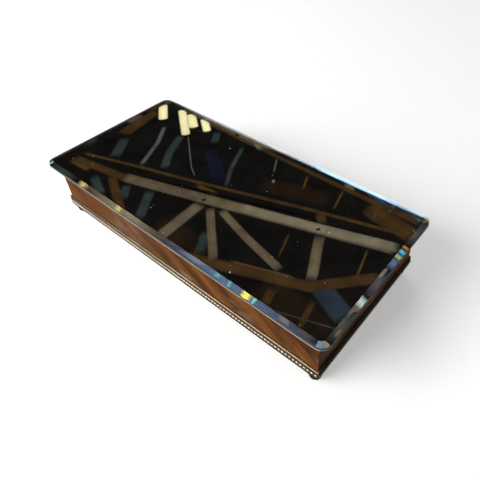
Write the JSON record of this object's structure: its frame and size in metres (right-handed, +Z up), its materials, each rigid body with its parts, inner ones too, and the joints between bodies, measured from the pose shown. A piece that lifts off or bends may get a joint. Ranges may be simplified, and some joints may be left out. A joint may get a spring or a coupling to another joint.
{
  "type": "vanity trinket box",
  "caption": "Low rectangular trinket box in figured veneer with a beaded brass base moulding, ball feet, and a hinged lid made of a bevelled plate mirror.",
  "frame": {"origin": "on the table, under the middle of the box", "axes": "+X along the long side, -Y towards the front, +Y towards the hinges, +Z up"},
  "size_m": [0.354, 0.168, 0.0706],
  "materials": {
    "case_wood": "oiled, unpolished inside",
    "figured_veneer": "diagonally figured veneer under a worn gloss polish",
    "board_wood": "plain sanded board",
    "aged_brass": "drawn brass, dulled and darkened in its grooves",
    "rubbed_brass": "brass, rubbed bright on its high points",
    "dark_brass": "turned brass, dark patina, rubbed at the equator",
    "steel": "drawn wire, dull",
    "plate_glass": "polished plate glass with a polished bevel and a ground lower edge",
    "silvering": "silvering with a painted back",
    "velvet": "short-pile cotton velvet",
    "felt": "thin wool felt"
  },
  "bodies": {
    "case": {"front_wall": "case_wood", "rear_wall": "case_wood", "left_wall": "case_wood", "right_wall": "case_wood", "front_veneer": "figured_veneer", "rear_veneer": "figured_veneer", "left_veneer": "figured_veneer", "right_veneer": "figured_veneer", "front_band": "aged_brass", "rear_band": "aged_brass", "left_band": "aged_brass", "right_band": "aged_brass", "front_beading": "rubbed_brass", "rear_beading": "rubbed_brass", "left_beading": "rubbed_brass", "right_beading": "rubbed_brass", "foot_front_left": "dark_brass", "foot_front_right": "dark_brass", "foot_rear_left": "dark_brass", "foot_rear_right": "dark_brass", "bottom_board": "board_wood", "base_felt": "felt", "front_lining": "velvet", "rear_lining": "velvet", "left_lining": "velvet", "right_lining": "velvet", "floor_pad": "velvet", "rim_bumpers": "felt", "hinge_case_leaf_left": "aged_brass", "hinge_case_leaf_right": "aged_brass", "hinge_pin_left": "steel", "hinge_pin_right": "steel", "hinge_case_screws": "rubbed_brass"},
    "lid": {"mirror_plate": "plate_glass", "mirror_silvering": "silvering", "lid_board": "board_wood", "lid_padding": "velvet", "hinge_lid_leaf_left": "aged_brass", "hinge_lid_leaf_right": "aged_brass", "hinge_lid_screws": "rubbed_brass"}
  },
  "joints": [
    {"name": "lid_hinge", "type": "hinge", "parent": "case", "child": "lid", "pos_m": [0, 0.0778, 0.0625], "axis": [-1, 0, 0], "range_deg": [0, 100]}
  ]
}
